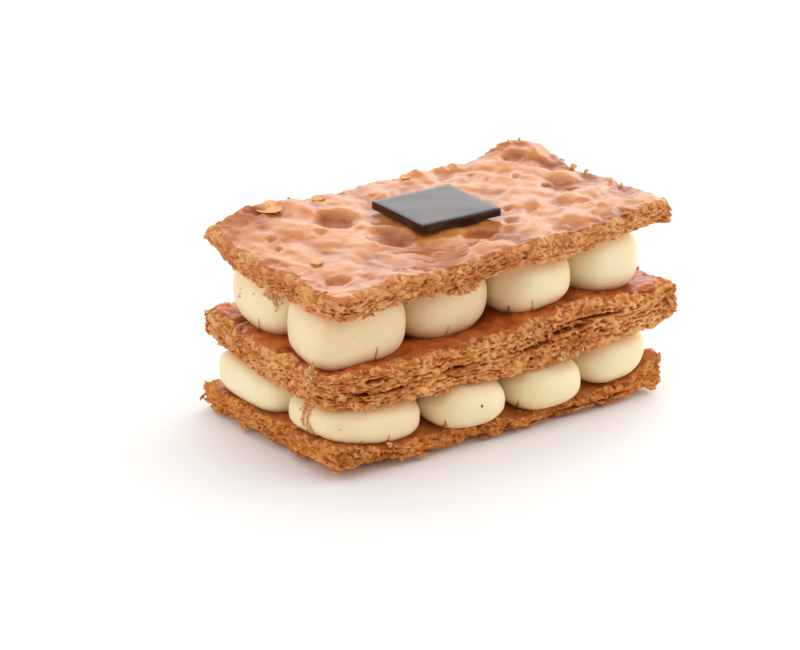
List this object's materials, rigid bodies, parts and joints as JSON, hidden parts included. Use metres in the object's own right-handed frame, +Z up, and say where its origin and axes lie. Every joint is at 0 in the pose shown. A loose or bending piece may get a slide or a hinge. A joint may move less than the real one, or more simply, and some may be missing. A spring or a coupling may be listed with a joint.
{
  "type": "mille feuille slice",
  "caption": "Rectangular slice of caramelised puff pastry sheets with piped balls of pastry cream between them and a dark chocolate square on top.",
  "frame": {"origin": "on the surface the slice stands on, under the middle of its bounding box", "axes": "+Z up, +X along the long side of the slice, -Y towards its front side"},
  "size_m": [0.116, 0.0682, 0.0575],
  "materials": {
    "puff_pastry": "flaky baked crumb at the sides, glossy caramel glaze on top",
    "pastry_cream": "smooth, soft, moist, pale yellow",
    "dark_chocolate": "tempered, mirror-smooth top"
  },
  "bodies": {
    "root": {"pastry_bottom": "puff_pastry", "pastry_middle": "puff_pastry", "pastry_top": "puff_pastry", "cream_lower_1": "pastry_cream", "cream_lower_2": "pastry_cream", "cream_lower_3": "pastry_cream", "cream_lower_4": "pastry_cream", "cream_lower_5": "pastry_cream", "cream_lower_6": "pastry_cream", "cream_lower_7": "pastry_cream", "cream_lower_8": "pastry_cream", "cream_upper_1": "pastry_cream", "cream_upper_2": "pastry_cream", "cream_upper_3": "pastry_cream", "cream_upper_4": "pastry_cream", "cream_upper_5": "pastry_cream", "cream_upper_6": "pastry_cream", "cream_upper_7": "pastry_cream", "cream_upper_8": "pastry_cream", "chocolate_square": "dark_chocolate"}
  },
  "joints": []
}
